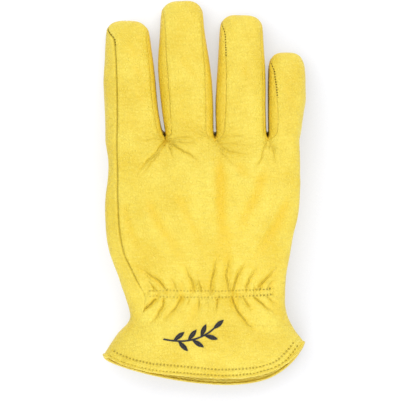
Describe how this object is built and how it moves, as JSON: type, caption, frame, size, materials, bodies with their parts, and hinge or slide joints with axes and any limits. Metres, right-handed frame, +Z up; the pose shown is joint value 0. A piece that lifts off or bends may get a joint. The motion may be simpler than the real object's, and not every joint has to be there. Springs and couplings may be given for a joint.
{
  "type": "lined leather driver glove",
  "caption": "Lined leather driver glove for the right hand, lying palm down with the thumb folded under, with a gathered wrist and a flared, bound cuff.",
  "frame": {"origin": "on the surface that the glove lies on, under the middle of its box", "axes": "+Y along the glove towards the fingertips, +X towards the little finger, +Z up out of the back of the hand"},
  "size_m": [0.138, 0.2628, 0.039],
  "materials": {
    "glove_leather": "smooth full-grain leather, soft sheen",
    "binding_leather": "smooth leather, folded and stitched",
    "emblem_thread": "satin-stitched thread"
  },
  "bodies": {
    "root": {"back_panel": "glove_leather", "palm_panel": "glove_leather", "fork_strip_index_middle": "glove_leather", "fork_strip_middle_ring": "glove_leather", "fork_strip_ring_little": "glove_leather", "thumb_front": "glove_leather", "thumb_back": "glove_leather", "cuff_binding": "binding_leather", "cuff_facing": "glove_leather", "cuff_motif": "emblem_thread"}
  },
  "joints": []
}
